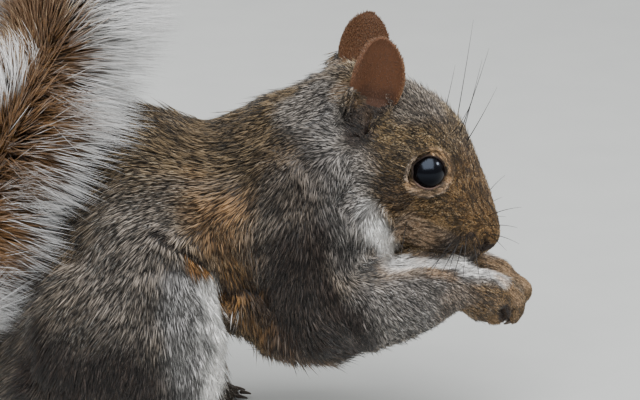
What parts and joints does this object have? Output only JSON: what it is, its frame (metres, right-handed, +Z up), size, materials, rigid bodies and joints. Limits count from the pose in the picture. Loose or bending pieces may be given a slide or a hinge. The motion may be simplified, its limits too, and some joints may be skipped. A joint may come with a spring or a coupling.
{
  "type": "grey squirrel",
  "caption": "Life-size still model of an adult grey squirrel, sitting up on its hind feet with both hands at its mouth and its bushy tail raised.",
  "frame": {"origin": "on the ground, under the middle of the bounding box", "axes": "+X toward the nose, +Y to the animal's left, +Z up"},
  "size_m": [0.22, 0.0932, 0.2171],
  "materials": {
    "body_fur": "soft grizzled grey-brown fur",
    "head_fur": "short brown grizzled fur",
    "tail_fur": "long loose banded hair with pale tips",
    "foot_fur": "short close fur",
    "ear": "thin skin with very short fur",
    "eye": "wet black gloss",
    "claw": "dark horn"
  },
  "bodies": {
    "root": {"head": "head_fur", "neck": "body_fur", "trunk": "body_fur", "tail_1": "tail_fur", "tail_2": "tail_fur", "tail_3": "tail_fur", "tail_4": "tail_fur", "tail_5": "tail_fur", "ear_right": "ear", "eye_right": "eye", "upper_arm_right": "body_fur", "forearm_right": "body_fur", "hand_right": "foot_fur", "thigh_right": "body_fur", "shank_right": "body_fur", "foot_right": "foot_fur", "claw_hand_right_1": "claw", "claw_hand_right_2": "claw", "claw_hand_right_3": "claw", "claw_hand_right_4": "claw", "claw_foot_right_1": "claw", "claw_foot_right_2": "claw", "claw_foot_right_3": "claw", "claw_foot_right_4": "claw", "claw_foot_right_5": "claw", "ear_left": "ear", "eye_left": "eye", "upper_arm_left": "body_fur", "forearm_left": "body_fur", "hand_left": "foot_fur", "thigh_left": "body_fur", "shank_left": "body_fur", "foot_left": "foot_fur", "claw_hand_left_1": "claw", "claw_hand_left_2": "claw", "claw_hand_left_3": "claw", "claw_hand_left_4": "claw", "claw_foot_left_1": "claw", "claw_foot_left_2": "claw", "claw_foot_left_3": "claw", "claw_foot_left_4": "claw", "claw_foot_left_5": "claw"}
  },
  "joints": []
}
